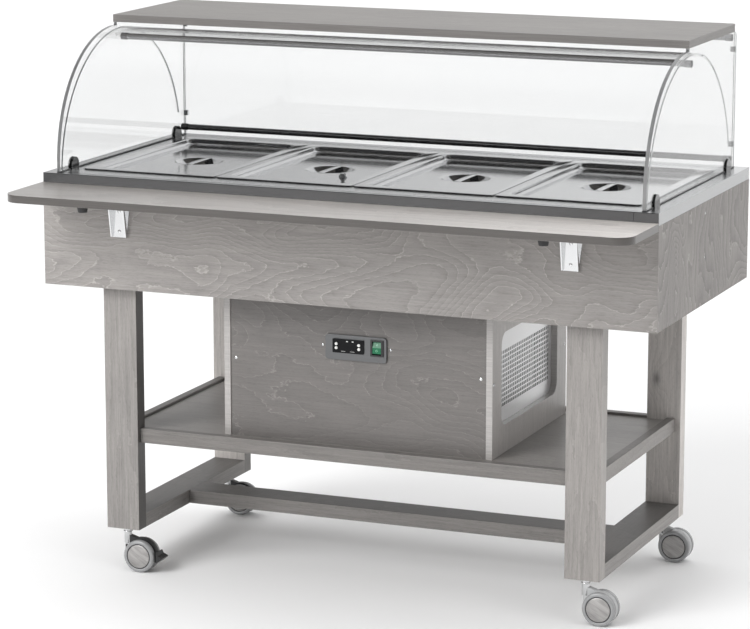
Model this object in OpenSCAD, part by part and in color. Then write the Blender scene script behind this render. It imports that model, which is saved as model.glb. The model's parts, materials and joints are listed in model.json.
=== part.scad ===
// Refrigerated buffet trolley: a wooden frame on four twin-wheel casters, a stainless
// top with four 1/1 food pans and lids, a clear canopy with a revolving front cover,
// a folding tray shelf and a machine box on the lower shelf.
// Millimetres. X runs along the length, Y from front to back, Z up from the floor.
// The origin is at the middle of the footprint, on the floor.

/* [Body] */
// Length of the body
body_l = 1436; // [1430:1:1460]
// Depth of the body without the tray shelf
body_d = 675; // [670:1:690]
// Height of the steel top
top_z = 912; // [900:1:930]
// Height of the lower edge of the apron boards
apron_z = 659; // [640:1:680]
// Thickness of the apron boards
apron_t = 20; // [18:1:22]
// Height of the steel rim
rim_h = 27; // [24:1:32]
// Steel sheet thickness
sheet_t = 1.5; // [1:0.1:2]

/* [Frame] */
// Height of the frame above the floor
leg_z = 98; // [98:1:98]
// Width of the leg boards
leg_w = 80; // [76:1:84]
// Thickness of the leg boards
leg_t = 36; // [34:1:38]
// Inset of the legs from the ends of the body
leg_in_x = 129; // [125:1:135]
// Inset of the legs from the front and back of the body
leg_in_y = 34; // [34:1:36]
// Height of the bottom rails
rail_h = 32; // [28:1:36]
// Height of the top of the lower shelf rails
shelf_z = 333; // [320:1:345]
// Height of the lower shelf rails
shelf_h = 33; // [30:1:36]
// How far the shelf panel lies below its rails
shelf_drop = 6; // [4:1:8]

/* [Machine box] */
// Width of the machine box
box_w = 640; // [630:1:650]
// Inset of the machine box from the front and back of the body
box_in = 94; // [90:1:100]
// Thickness of the machine box boards
box_t = 15; // [14:1:16]
// Rows of slots in a vent grille
vent_rows = 12; // [8:1:12]
// Columns of slots in a vent grille
vent_cols = 3; // [2:1:6]

/* [Pans] */
// Pitch of the pans along the top
pan_pitch = 328; // [327:0.5:329]
// Width of a pan over its rim
pan_w = 325; // [325:1:325]
// Depth of a pan over its rim, front to back
pan_d = 530; // [530:1:530]
// Height of a pan
pan_h = 100; // [65:5:120]

/* [Canopy] */
// Half of the distance between the outer faces of the side panels
glass_x = 687; // [680:1:690]
// Thickness of the side panels
glass_t = 8; // [8:1:8]
// Radius of the front cover at the middle of its sheet
cover_r = 302; // [300:1:304]
// Thickness of the front cover
cover_t = 4; // [3:0.5:4]
// Depth of the cover's guide groove in each side panel
groove_d = 3.5; // [3:0.5:4]
// Height of the roof panel's upper face
roof_z = 1237; // [1235:1:1245]
// Thickness of the roof panel
roof_t = 17; // [16:1:18]
// Diameter of the canopy tubes
tube_d = 14; // [12:1:16]

/* [Tray shelf] */
// How far the tray shelf reaches in front of the body
tray_reach = 194; // [180:1:200]
// Thickness of the tray shelf
tray_t = 17; // [16:1:18]
// Drop of the tray's upper face below the steel top
tray_drop = 21; // [18:1:24]
// Half of the distance between the two tray brackets
bracket_x = 528; // [500:1:560]

/* [Casters] */
// Wheel diameter
wheel_d = 75; // [75:1:75]
// Tread width of one wheel
wheel_w = 14; // [13:1:15]
// Offset of the wheel axle from the swivel axis
trail = 35; // [32:1:36]

/* [Hidden] */
$fn = 64;

yf = -(body_d - tray_reach) / 2;          // front face of the apron
yb = yf + body_d;                         // back face of the apron
ym = (yf + yb) / 2;                       // middle of the body's depth
hl = body_l / 2;
leg_xc = hl - leg_in_x - leg_w / 2;       // centre of a leg along X
leg_xi = leg_xc - leg_w / 2;
leg_xo = leg_xc + leg_w / 2;
leg_yf0 = yf + leg_in_y;                  // front legs, front face
leg_yf1 = leg_yf0 + leg_t;
leg_yb1 = yb - leg_in_y;                  // back legs, back face
leg_yb0 = leg_yb1 - leg_t;
panel_z = shelf_z - shelf_drop;           // upper face of the shelf panel
panel_t = 12;
box_z1 = 740;                             // top of the machine box, under the well
box_y0 = yf + box_in;
box_y1 = yb - box_in;
box_xi = box_w / 2 - box_t;
vent_y0 = yf + 150; vent_y1 = yf + 517;   // vent opening
vent_z0 = 390; vent_z1 = 598; vent_r = 28;
vent_w = 341 / vent_cols;                 // pitch of the slots along the depth
arc_y = yf + 320; arc_z = top_z - 10;     // axis of the front cover
cover_a0 = 2.1; cover_a1 = 106;           // cover, from the front edge over the top
groove_a1 = 166.5;                        // back end of the guide groove
glass_y1 = yf + 656;                      // back edge of the side panels
glass_z0 = top_z + 2;
roof_z0 = roof_z - roof_t;
tray_z1 = top_z - tray_drop;
tray_z0 = tray_z1 - tray_t;
tray_y0 = yf - tray_reach;
hinge_y = yf - 13.5; hinge_z = tray_z0 - 12;   // tray hinge pins
end_screw_z = [763, 860];                 // countersunk screws of the end aprons
base_screw_z = [791, 836];                // screws of the tray brackets
pan_yc = yf + 69.6 + pan_d / 2;
pedal_x = 28;                             // brake pedal pin, from the wheel axle
wheel_r = wheel_d / 2;
stem = [[-(leg_xc - 4), yf + 50], [leg_xc + 4, yf + 50],
        [-(leg_xc - 4), yf + 592], [leg_xc + 4, yf + 592]];

// ---------- helpers ----------
module at_x(x0, w) translate([x0, 0, 0]) rotate([90, 0, 90]) linear_extrude(w) children(); // outline in YZ
module at_y(y0, w) translate([0, y0 + w, 0]) rotate([90, 0, 0]) linear_extrude(w) children(); // outline in XZ
module bx(x0, x1, y0, y1, z0, z1) translate([x0, y0, z0]) cube([x1 - x0, y1 - y0, z1 - z0]);
module rrect(w, h, r, fn = 48) union() {
    square([w - 2 * r, h], center = true);
    square([w, h - 2 * r], center = true);
    for (sx = [-1, 1], sy = [-1, 1]) translate([sx * (w / 2 - r), sy * (h / 2 - r)]) circle(r, $fn = fn);
}

wood = [0.62, 0.60, 0.58]; wood_dark = [0.47, 0.45, 0.44]; steel = [0.82, 0.83, 0.84];
glass_c = [0.85, 0.92, 0.95, 0.35]; black = [0.08, 0.08, 0.08]; chrome = [0.9, 0.9, 0.92];

// ---------- wooden frame ----------
module legs() color(wood) difference() {
    for (s = [-1, 1]) {
        bx(s * leg_xc - leg_w / 2, s * leg_xc + leg_w / 2, leg_yf0, leg_yf1, leg_z, top_z - rim_h - 1);
        bx(s * leg_xc - leg_w / 2, s * leg_xc + leg_w / 2, leg_yb0, leg_yb1, leg_z, top_z - rim_h - 1);
    }
    for (i = [0, 1]) translate([stem[i][0], stem[i][1], leg_z - 1]) cylinder(r = 6, h = 31);
}
module apron_ledgers() color(wood_dark) {
    bx(-hl + apron_t, hl - apron_t, yf + apron_t, leg_yf0, top_z - 90, top_z - sheet_t);
    bx(-hl + apron_t, hl - apron_t, leg_yb1, yb - apron_t, top_z - 90, top_z - sheet_t);
}
module bottom_rails() color(wood) difference() {
    for (s = [-1, 1]) bx(s * leg_xc - leg_w / 2, s * leg_xc + leg_w / 2, leg_yf1, leg_yb0, leg_z, leg_z + rail_h);
    for (i = [2, 3]) translate([stem[i][0], stem[i][1], leg_z - 1]) cylinder(r = 6, h = 31);
}
module center_stretcher() color(wood) bx(-leg_xi, leg_xi, ym - 40, ym + 40, leg_z, leg_z + rail_h);
module long_aprons() color(wood) for (a = [0, 180]) translate([0, ym, apron_z]) rotate([0, 0, a])
    linear_extrude(top_z - rim_h - apron_z)
    polygon([[-hl, -body_d / 2], [hl, -body_d / 2], [hl - apron_t, -body_d / 2 + apron_t], [-hl + apron_t, -body_d / 2 + apron_t]]);
module end_aprons() color(wood) for (a = [0, 180]) translate([0, ym, 0]) rotate([0, 0, a]) difference() {
    translate([0, 0, apron_z]) linear_extrude(top_z - rim_h - apron_z)
        polygon([[-hl, -body_d / 2], [-hl + apron_t, -body_d / 2 + apron_t], [-hl + apron_t, body_d / 2 - apron_t], [-hl, body_d / 2]]);
    for (z = end_screw_z) translate([-hl - 1, 0, z]) rotate([0, 90, 0]) cylinder(r = 4.5, h = 3);
}
module shelf_rails() color(wood) {
    bx(-leg_xi, leg_xi, yf + 47, yf + 67, shelf_z - shelf_h, shelf_z);
    bx(-leg_xi, leg_xi, yb - 67, yb - 47, shelf_z - shelf_h, shelf_z);
    for (s = [-1, 1]) bx(s * (leg_xo - 23) - 10, s * (leg_xo - 23) + 10, leg_yf1, leg_yb0, shelf_z - shelf_h, shelf_z);
}
module shelf_panel() color(wood_dark) difference() {
    bx(-leg_xo + 33, leg_xo - 33, yf + 67, yb - 67, panel_z - panel_t, panel_z);
    for (sx = [-1, 1], y = [leg_yf0, leg_yb0]) bx(sx * leg_xc - leg_w / 2, sx * leg_xc + leg_w / 2, y, y + leg_t, 300, 340);
}

// ---------- machine box ----------
module box_front_panel() color(wood_dark) difference() {
    bx(-box_xi, box_xi, box_y0 + 3, box_y0 + 18, panel_z, box_z1);
    bx(-53, 18, box_y0, box_y0 + 30, 539.5, 568);
    bx(36.5, 64.5, box_y0, box_y0 + 30, 538, 571);
}
module box_side_panels() color(wood_dark) for (s = [-1, 1]) at_x(s > 0 ? box_xi : -box_w / 2, box_t) difference() {
    translate([box_y0, panel_z]) square([box_y1 - box_y0, box_z1 - panel_z]);
    translate([(vent_y0 + vent_y1) / 2, (vent_z0 + vent_z1) / 2]) rrect(vent_y1 - vent_y0, vent_z1 - vent_z0, vent_r);
}
module box_back_panel() color(wood_dark) difference() {
    bx(-box_xi, box_xi, box_y1 - box_t, box_y1, panel_z, box_z1);
    translate([-240, box_y1 + 1, 380]) rotate([90, 0, 0]) cylinder(r = 10, h = box_t + 2);
}
module vent_grilles() color([0.85, 0.85, 0.86]) for (s = [-1, 1]) at_x(s > 0 ? box_xi - sheet_t : -box_xi, sheet_t) difference() {
    translate([vent_y0 - 12, vent_z0 - 12]) square([vent_y1 - vent_y0 + 24, vent_z1 - vent_z0 + 24]);
    for (i = [0:vent_cols - 1], j = [0:vent_rows - 1])
        translate([vent_y0 + 12.5 + i * vent_w, 424 + j * 10.7]) square([vent_w - 4.8, 7.6]);
}
module compressor() color([0.15, 0.15, 0.16]) translate([-150, yf + 330, panel_z]) {
    rotate_extrude() polygon(concat([[0, 14]], [for (a = [-90:15:0]) [48 + 32 * cos(a), 46 + 32 * sin(a)]],
        [for (a = [0:15:90]) [48 + 32 * cos(a), 128 + 32 * sin(a)]], [[0, 160]]));
    translate([-100, -75, 0]) cube([200, 150, 4]);
    for (sx = [-1, 1], sy = [-1, 1]) translate([sx * 82, sy * 58, 4]) cylinder(r = 12, h = 16);
    translate([-90, -60, 18]) cube([180, 14, 4]);
    translate([-90, 46, 18]) cube([180, 14, 4]);
    translate([-90, -60, 14]) cube([180, 120, 4.5]);
}
module condenser() color([0.7, 0.7, 0.72]) {
    bx(232, 278, yf + 190, yf + 470, panel_z + 20, panel_z + 290);
    for (i = [0:5]) translate([245, yf + 186, panel_z + 50 + i * 42]) rotate([-90, 0, 0]) cylinder(r = 5, h = 288);
    bx(228, 282, yf + 200, yf + 460, panel_z, panel_z + 20);
}
module fan_shroud() color([0.2, 0.2, 0.2]) {
    difference() {
        union() {
            bx(218, 232, yf + 190, yf + 470, panel_z + 20, panel_z + 290);
            translate([196, yf + 330, panel_z + 155]) rotate([0, 90, 0]) cylinder(r = 112, h = 22);
        }
        translate([190, yf + 330, panel_z + 155]) rotate([0, 90, 0]) cylinder(r = 106, h = 50);
    }
    translate([150, yf + 330, panel_z + 155]) rotate([0, 90, 0]) cylinder(r = 30, h = 42);
    bx(158, 176, yf + 322, yf + 338, panel_z, panel_z + 127);
    translate([190, yf + 330, panel_z + 155]) rotate([0, 90, 0]) cylinder(r = 4, h = 20);
}
module fan_blades() color([0.75, 0.75, 0.77]) translate([0, yf + 330, panel_z + 155]) difference() {
    union() {
        translate([196, 0, 0]) rotate([0, 90, 0]) cylinder(r = 26, h = 18);
        for (a = [0:72:288]) rotate([a, 0, 0]) translate([205, 0, 20]) rotate([0, 0, 60]) translate([-24, -1.2, 0]) cube([0 + 40, 2.4, 80]);
    }
    translate([180, 0, 0]) rotate([0, 90, 0]) cylinder(r = 4.05, h = 40);
    bx(160, 195, -110, 110, -110, 110);
    bx(217, 250, -110, 110, -110, 110);
}

// ---------- controls ----------
module control_bezel() color([0.7, 0.71, 0.72]) difference() {
    at_y(box_y0 - 2, 5) translate([0, 550]) rrect(145, 56, 7);
    bx(-53, 18, box_y0 - 5, box_y0 + 5, 539.5, 568);
    bx(36.5, 64.5, box_y0 - 5, box_y0 + 5, 538, 571);
}
ctrl_y = box_y0 - 5;
button_at = [[-45.6, 558], [-45.6, 549], [8.3, 558], [8.3, 549]];
module controller() color(black) difference() {
    union() {
        at_y(ctrl_y, 3) translate([-17.5, 553.8]) rrect(74, 31, 2);
        bx(-52.8, 17.8, ctrl_y + 3, ctrl_y + 60, 539.7, 567.8);
    }
    for (b = button_at) translate([b[0], ctrl_y - 1, b[1]]) rotate([-90, 0, 0]) cylinder(r = 3.7, h = 4);
}
module button_part(i) color("white") translate([button_at[i][0], ctrl_y - 1.2, button_at[i][1]]) rotate([-90, 0, 0]) {
    cylinder(r1 = 2.9, r2 = 3.4, h = 0.5);
    translate([0, 0, 0.5]) cylinder(r = 3.4, h = 2.6);
}
module button_up() button_part(0);
module button_down() button_part(1);
module button_set() button_part(2);
module button_standby() button_part(3);
module rocker_housing() color(black) difference() {
    union() {
        bx(35.5, 65.5, box_y0 - 5, box_y0 - 2, 536, 573);
        bx(36.7, 64.3, box_y0 - 2, box_y0 + 26, 538.2, 570.8);
    }
    bx(40, 61, box_y0 - 8, box_y0 + 12, 539.5, 569.5);
    translate([38.2, box_y0 + 2, 554.5]) rotate([0, 90, 0]) cylinder(r = 2.05, h = 24.6);
}
module rocker_switch() color([0.1, 0.5, 0.25]) {
    translate([40.6, box_y0 + 2, 554.5]) rotate([-10, 0, 0]) rotate([90, 0, 90]) linear_extrude(19.8)
        polygon([[-7, 0], [-4.4, 13.2], [3, 13.6], [6, 3.2], [6, -3.2], [3, -13.6], [-4.4, -13.2]]);
    translate([38.5, box_y0 + 2, 554.5]) rotate([0, 90, 0]) cylinder(r = 2, h = 24);
}

// ---------- steel top, pans and lids ----------
module steel_top() color(steel) difference() {
    union() {
        difference() {
            bx(-hl, hl, yf, yb, top_z - rim_h, top_z);
            bx(-hl + sheet_t, hl - sheet_t, yf + sheet_t, yb - sheet_t, top_z - rim_h - 1, top_z - sheet_t);
        }
        bx(-653.5, 653.5, yf + 74.5, yf + 594.7, 745, top_z - sheet_t / 2);
    }
    bx(-652, 652, yf + 76, yf + 593.2, 746.5, top_z + 1);
}
module support_bars() color(steel) for (i = [-1:1]) bx(i * pan_pitch - 9, i * pan_pitch + 9, yf + 76, yf + 593.2, top_z - 10, top_z);
module pan_part(i) color(steel) translate([(i - 1.5) * pan_pitch, pan_yc, 0]) difference() {
    union() {
        translate([0, 0, top_z + 0.3]) linear_extrude(1.2) rrect(pan_w, pan_d, 12);
        translate([0, 0, top_z + 1 - pan_h]) linear_extrude(pan_h) rrect(pan_w - 22, pan_d - 24, 30);
    }
    translate([0, 0, top_z + 2.2 - pan_h]) linear_extrude(pan_h) rrect(pan_w - 25, pan_d - 27, 28.5);
}
module pan_1() pan_part(0);
module pan_2() pan_part(1);
module pan_3() pan_part(2);
module pan_4() pan_part(3);

lid_z = top_z + 1.8;                      // underside of a lid's rim
lid_sink = 12;                            // depth of a lid's recess
cup_r = 50; cup_h = 22;
cup_s = (cup_r * cup_r + cup_h * cup_h) / (2 * cup_h);
module lid_part(i, knob = false) color(steel) translate([(i - 1.5) * pan_pitch, pan_yc, lid_z]) {
    pz = 1.5 - lid_sink;                  // upper face of the recessed panel
    difference() {
        union() {
            linear_extrude(1.5) rrect(pan_w, pan_d, 12);
            translate([0, 0, pz - 1.5]) linear_extrude(lid_sink) rrect(pan_w - 50, pan_d - 52, 26);
            intersection() {
                translate([0, 0, pz + cup_s - cup_h]) sphere(cup_s + 1.5, $fn = 96);
                translate([0, 0, pz - cup_h - 4]) cylinder(r = 80, h = cup_h + 4);
            }
        }
        translate([0, 0, pz]) linear_extrude(lid_sink + 1) rrect(pan_w - 53, pan_d - 55, 24.5);
        intersection() {
            translate([0, 0, pz + cup_s - cup_h]) sphere(cup_s, $fn = 96);
            translate([0, 0, pz - cup_h - 4]) cylinder(r = 80, h = cup_h + 5);
        }
    }
    translate([-8, -cup_r - 2, pz - 1.5]) cube([16, 2 * cup_r + 4, 1.5]);
    if (knob) translate([97, -154, pz]) {
        cylinder(r = 6, h = 6);
        translate([0, 0, 12]) sphere(10);
    }
}
module lid_1() lid_part(0);
module lid_2() lid_part(1, knob = true);
module lid_3() lid_part(2);
module lid_4() lid_part(3);

// ---------- canopy ----------
function arc_pt(r, a) = [arc_y - r * cos(a), arc_z + r * sin(a)];
function rim_r(a) = cover_r + 8 + 14 * pow(sin(2 * a), 1);
module glass_outline() difference() {
    polygon(concat([for (a = [2.3:2.5:82.3]) arc_pt(rim_r(a), a)],
        [[arc_y - 24, roof_z0 - 8], [arc_y - 24, roof_z0], [glass_y1 - 14, roof_z0]],
        [for (a = [75:-15:0]) [glass_y1 - 14 + 14 * cos(a), roof_z0 - 14 + 14 * sin(a)]],
        [[glass_y1, glass_z0], [arc_pt(rim_r(2.3), 2.3)[0], glass_z0]]));
    translate([arc_y - 400, 0]) square([800, glass_z0]);
}
module groove_outline() {
    intersection() {
        translate([arc_y, arc_z]) difference() {
            circle(cover_r + 2.6, $fn = 128);
            circle(cover_r - 2.6, $fn = 128);
        }
        polygon(concat([[arc_y, arc_z]], [for (a = [-4:17.05:groove_a1]) arc_pt(500, a)], [arc_pt(500, groove_a1)]));
    }
    translate(arc_pt(cover_r, groove_a1)) circle(2.6, $fn = 24);
}
module side_glass(s) color(glass_c) difference() {
    at_x(s > 0 ? glass_x - glass_t : -glass_x, glass_t) glass_outline();
    at_x(s > 0 ? glass_x - glass_t - 1 : -glass_x + glass_t - groove_d, groove_d + 1) groove_outline();
}
module left_side_glass() side_glass(-1);
module right_side_glass() side_glass(1);
module back_glass() color(glass_c) bx(-glass_x + glass_t, glass_x - glass_t, yf + 642, yf + 647, top_z + 0.5, roof_z0 - 0.5);
module front_cover() color(glass_c) at_x(-(glass_x - glass_t + groove_d - 0.5), 2 * (glass_x - glass_t + groove_d - 0.5)) intersection() {
    translate([arc_y, arc_z]) difference() {
        circle(cover_r + cover_t / 2, $fn = 128);
        circle(cover_r - cover_t / 2, $fn = 128);
    }
    polygon([[arc_y, arc_z], arc_pt(600, cover_a0), arc_pt(600, 30), arc_pt(600, 60), arc_pt(600, 90), arc_pt(600, cover_a1)]);
}
tube_at = [[yf + 322, 1184], [yf + 628, 1208], [yf + 633, 934]];
module canopy_tubes() color(chrome) for (t = tube_at) translate([-glass_x + glass_t + 15, t[0], t[1]]) rotate([0, 90, 0])
    cylinder(r = tube_d / 2, h = 2 * (glass_x - glass_t - 15));
module tube_end_caps() color(black) for (t = tube_at, s = [-1, 1])
    translate([s > 0 ? glass_x - glass_t - 15 : -glass_x + glass_t, t[0], t[1]]) rotate([0, 90, 0]) cylinder(r = tube_d / 2 + 1, h = 15);
module glass_clamps() color(black) for (s = [-1, 1], y = [yf + 77, yf + 605.5]) difference() {
    at_x(s * (glass_x - glass_t / 2) - 7, 14) intersection() {
        union() {
            translate([y, top_z + 9]) circle(18);
            translate([y - 18, top_z]) square([36, 9]);
        }
        translate([y - 30, top_z]) square([60, 40]);
    }
    bx(s * (glass_x - glass_t / 2) - glass_t / 2, s * (glass_x - glass_t / 2) + glass_t / 2, y - 40, y + 40, glass_z0, top_z + 60);
}
module glass_clips() color(glass_c) for (s = [-1, 1], z = [966, 1180])
    translate([s > 0 ? glass_x - glass_t - 9 : -glass_x + glass_t, yf + 647, z - 6]) cube([9, 8, 12]);
module roof_panel() color(wood) translate([0, 0, roof_z0]) linear_extrude(roof_t) difference() {
    union() {
        translate([-glass_x, yf + 293]) square([2 * glass_x, 359 - 12]);
        translate([-glass_x + 12, yf + 293]) square([2 * glass_x - 24, 359]);
        for (s = [-1, 1]) translate([s * (glass_x - 12), yf + 652 - 12]) circle(12);
    }
}

// ---------- folding tray shelf ----------
module tray_shelf() color(wood) translate([0, 0, tray_z0]) linear_extrude(tray_t) union() {
    translate([-hl, tray_y0 + 40]) square([body_l, tray_reach - 40.8]);
    translate([-hl + 40, tray_y0]) square([body_l - 80, tray_reach - 0.8]);
    for (s = [-1, 1]) translate([s * (hl - 40), tray_y0 + 40]) circle(40, $fn = 96);
}
module bracket_bases() color(chrome) for (s = [-1, 1]) translate([s * bracket_x, 0, 0]) {
    difference() {
        union() {
            at_y(yf - 3, 3) polygon([[-17, 778], [17, 778], [26, 850], [26, 868], [-26, 868], [-26, 850]]);
            for (x = [-19, 16.5]) at_x(x, 2.5) union() {
                polygon([[yf - 2.9, 779], [yf - 9, 779], [yf - 20.5, 846], [hinge_y - 8, hinge_z], [hinge_y, hinge_z + 2], [yf - 2.9, 868]]);
                translate([hinge_y, hinge_z]) circle(8);
            }
        }
        for (z = base_screw_z) translate([0, yf + 1, z]) rotate([90, 0, 0]) cylinder(r = 2.5, h = 8);
    }
    translate([-19, hinge_y, hinge_z]) rotate([0, 90, 0]) cylinder(r = 3, h = 38);
}
module bracket_arms() color(chrome) for (s = [-1, 1]) translate([s * bracket_x, 0, 0]) difference() {
    union() {
        bx(-14, 14, yf - 158, yf - 7, tray_z0 - 3, tray_z0);
        for (x = [-14, 11.5]) at_x(x, 2.5) union() {
            polygon([[hinge_y + 4, tray_z0 - 2], [hinge_y + 6, hinge_z], [hinge_y - 2, hinge_z - 6.5], [hinge_y - 62, tray_z0 - 8], [yf - 156, tray_z0 - 5], [yf - 156, tray_z0 - 2]]);
            translate([hinge_y, hinge_z]) circle(7);
        }
    }
    translate([-20, hinge_y, hinge_z]) rotate([0, 90, 0]) cylinder(r = 3.05, h = 40);
}
module tray_bumpers() color(black) for (s = [-1, 1]) translate([s * bracket_x, yf - 176, tray_z0 - 12.5]) cylinder(r1 = 10, r2 = 12.5, h = 12.5);

// ---------- casters ----------
module caster_sleeves() color(chrome) for (p = stem) translate([p[0], p[1], 0]) difference() {
    union() {
        translate([0, 0, leg_z - 2]) cylinder(r = 10, h = 2);
        translate([0, 0, leg_z - 1]) cylinder(r = 5.95, h = 29);
    }
    translate([0, 0, leg_z - 5]) cylinder(r = 4.05, h = 29);
}
module fork_part(i) translate([stem[i][0], stem[i][1], 0]) {
    braked = i == 0 || i == 2;
    color(chrome) difference() {
        union() {
            translate([0, 0, 63]) cylinder(r = 8.5, h = leg_z - 2.3 - 63);
            translate([0, 0, 80]) cylinder(r = 4, h = leg_z + 20 - 80);
            intersection() {
                union() {
                    translate([trail, 6.5, wheel_r]) rotate([90, 0, 0]) cylinder(r = wheel_r + (braked ? 3 : -1), h = 13);
                    bx(-4, trail, -6.5, 6.5, 44, 72);
                    at_y(-6.5, 13) polygon([[0, 60], [0, 84], [trail, wheel_r + 36], [trail, 60]]);
                }
                bx(-20, 90, -10, 10, braked ? 24 : 14, 100);
            }
            translate([trail, 22, wheel_r]) rotate([90, 0, 0]) cylinder(r = 4, h = 44);
            translate([trail, 6.9, wheel_r]) rotate([90, 0, 0]) cylinder(r = 9, h = 13.8);
        }
        if (braked) translate([trail, 0, wheel_r]) {
            bx(21, 60, -4, 4, -12, 12);
            translate([pedal_x, 8, 0]) rotate([90, 0, 0]) cylinder(r = 2.05, h = 16);
        }
    }
}
module caster_fl_fork() fork_part(0);
module caster_fr_fork() fork_part(1);
module caster_bl_fork() fork_part(2);
module caster_br_fork() fork_part(3);
module wheels_part(i) color([0.75, 0.75, 0.76]) translate([stem[i][0] + trail, stem[i][1], wheel_r])
    for (s = [-1, 1]) rotate([s > 0 ? -90 : 90, 0, 0]) translate([0, 0, 7.3]) difference() {
        rotate_extrude($fn = 96) polygon(concat([[4.05, 0], [wheel_r - 2.5, 0]],
            [for (a = [-60:30:60]) [wheel_r - 3 + 3 * cos(a), wheel_w / 2 + (wheel_w / 2 - 3) * sin(a) / sin(60) + 3 * sin(a) * (1 - abs(sin(a)) / sin(60))]],
            [[wheel_r - 2.5, wheel_w], [4.05, wheel_w]]));
        translate([0, 0, wheel_w - 1]) difference() {
            cylinder(r = 31, h = 2);
            translate([0, 0, -1]) cylinder(r = 28.8, h = 4);
        }
    }
module caster_fl_wheels() wheels_part(0);
module caster_fr_wheels() wheels_part(1);
module caster_bl_wheels() wheels_part(2);
module caster_br_wheels() wheels_part(3);
module pedal_part(i) color(black) translate([stem[i][0] + trail, stem[i][1], wheel_r]) {
    at_y(-3.5, 7) polygon([[24, -7], [44, -10], [44, 9], [24, 7]]);
    translate([pedal_x, 6.4, 0]) rotate([90, 0, 0]) cylinder(r = 2, h = 12.8);
    at_y(-17, 34) polygon([[42, -11], [45, -12], [56, -3], [57.5, 0], [46, 5], [42, 13]]);
}
module brake_pedal_fl() pedal_part(0);
module brake_pedal_bl() pedal_part(2);

// ---------- small parts ----------
module screw_y(x, y, z, r = 4) translate([x, y, z]) rotate([90, 0, 0]) cylinder(r = r, h = 1.8);
module screws() color(chrome) {
    for (s = [-1, 1]) {
        screw_y(s * 292, box_y0 + 3, 505);
        screw_y(s * 80.5, box_y0 + 3, 552, 3.2);
        for (y = [box_y0 + 7, box_y1 - 14]) translate([s > 0 ? box_w / 2 : -box_w / 2 - 1.8, y, 493]) rotate([0, 90, 0]) cylinder(r = 4, h = 1.8);
        for (z = end_screw_z) translate([s > 0 ? hl - 2 : -hl, ym, z]) rotate([0, 90, 0]) cylinder(r = 4.4, h = 2);
        for (z = base_screw_z) {
            screw_y(s * bracket_x, yf - 3, z);
            translate([s * bracket_x, yf, z]) rotate([90, 0, 0]) cylinder(r = 2.4, h = 4);
        }
    }
}
module cable_gland() color(black) translate([-240, 0, 380]) difference() {
    union() {
        translate([0, box_y1 + 6, 0]) rotate([90, 0, 0]) cylinder(r = 14, h = 6, $fn = 6);
        translate([0, box_y1 + 20, 0]) rotate([90, 0, 0]) cylinder(r = 10, h = 15);
        translate([0, box_y1 + 1, 0]) rotate([90, 0, 0]) cylinder(r = 9.95, h = box_t + 6);
    }
    translate([0, box_y1 + 40, 0]) rotate([90, 0, 0]) cylinder(r = 5, h = 80);
}

legs();
apron_ledgers();
bottom_rails();
center_stretcher();
long_aprons();
end_aprons();
shelf_rails();
shelf_panel();
box_front_panel();
box_side_panels();
box_back_panel();
vent_grilles();
compressor();
condenser();
fan_shroud();
fan_blades();
control_bezel();
controller();
button_up();
button_down();
button_set();
button_standby();
rocker_housing();
rocker_switch();
steel_top();
support_bars();
pan_1();
pan_2();
pan_3();
pan_4();
lid_1();
lid_2();
lid_3();
lid_4();
left_side_glass();
right_side_glass();
back_glass();
front_cover();
canopy_tubes();
tube_end_caps();
glass_clamps();
glass_clips();
roof_panel();
tray_shelf();
bracket_bases();
bracket_arms();
tray_bumpers();
caster_sleeves();
caster_fl_fork();
caster_fr_fork();
caster_bl_fork();
caster_br_fork();
caster_fl_wheels();
caster_fr_wheels();
caster_bl_wheels();
caster_br_wheels();
brake_pedal_fl();
brake_pedal_bl();
screws();
cable_gland();
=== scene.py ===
import json
import math
import bpy
import bmesh
from mathutils import Vector, Matrix

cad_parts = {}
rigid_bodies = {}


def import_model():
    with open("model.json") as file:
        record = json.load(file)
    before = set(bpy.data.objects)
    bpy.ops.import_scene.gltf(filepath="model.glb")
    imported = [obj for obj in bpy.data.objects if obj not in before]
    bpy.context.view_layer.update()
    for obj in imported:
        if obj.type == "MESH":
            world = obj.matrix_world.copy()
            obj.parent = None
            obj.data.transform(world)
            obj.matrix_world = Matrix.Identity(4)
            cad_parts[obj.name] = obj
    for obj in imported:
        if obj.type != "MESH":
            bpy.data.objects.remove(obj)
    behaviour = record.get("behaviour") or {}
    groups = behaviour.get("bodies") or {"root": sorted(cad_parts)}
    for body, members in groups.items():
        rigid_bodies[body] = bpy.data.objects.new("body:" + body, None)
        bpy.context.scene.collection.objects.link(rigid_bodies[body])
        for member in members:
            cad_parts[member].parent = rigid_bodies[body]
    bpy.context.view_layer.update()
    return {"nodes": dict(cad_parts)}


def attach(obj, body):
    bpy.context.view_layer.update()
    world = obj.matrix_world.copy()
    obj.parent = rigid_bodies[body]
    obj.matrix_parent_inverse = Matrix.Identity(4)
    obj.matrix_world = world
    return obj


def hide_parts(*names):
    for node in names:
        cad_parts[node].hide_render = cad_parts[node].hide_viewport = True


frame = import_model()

nodes = frame["nodes"]
YF = -0.2405                      # front face of the apron, in the row frame
PITCH = 0.328
PAN_Y = YF + 0.0696 + 0.265
LID_Z = 0.9138                    # underside of a lid's rim
STEMS = {"fl": (-0.545, YF + 0.050), "fr": (0.553, YF + 0.050),
         "bl": (-0.545, YF + 0.592), "br": (0.553, YF + 0.592)}
TRAIL = 0.035
WHEEL_R = 0.0375


# ------------------------------------------------------------------ node helpers
def mat(name):
    m = bpy.data.materials.new(name)
    m.use_nodes = True
    return m


def bsdf(m):
    return m.node_tree.nodes["Principled BSDF"]


def put(m, socket, v):
    if isinstance(v, bpy.types.NodeSocket):
        m.node_tree.links.new(v, socket)
    elif isinstance(v, (tuple, list)) and len(v) == 3 and socket.type == "RGBA":
        socket.default_value = (*v, 1.0)
    else:
        socket.default_value = v


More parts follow.
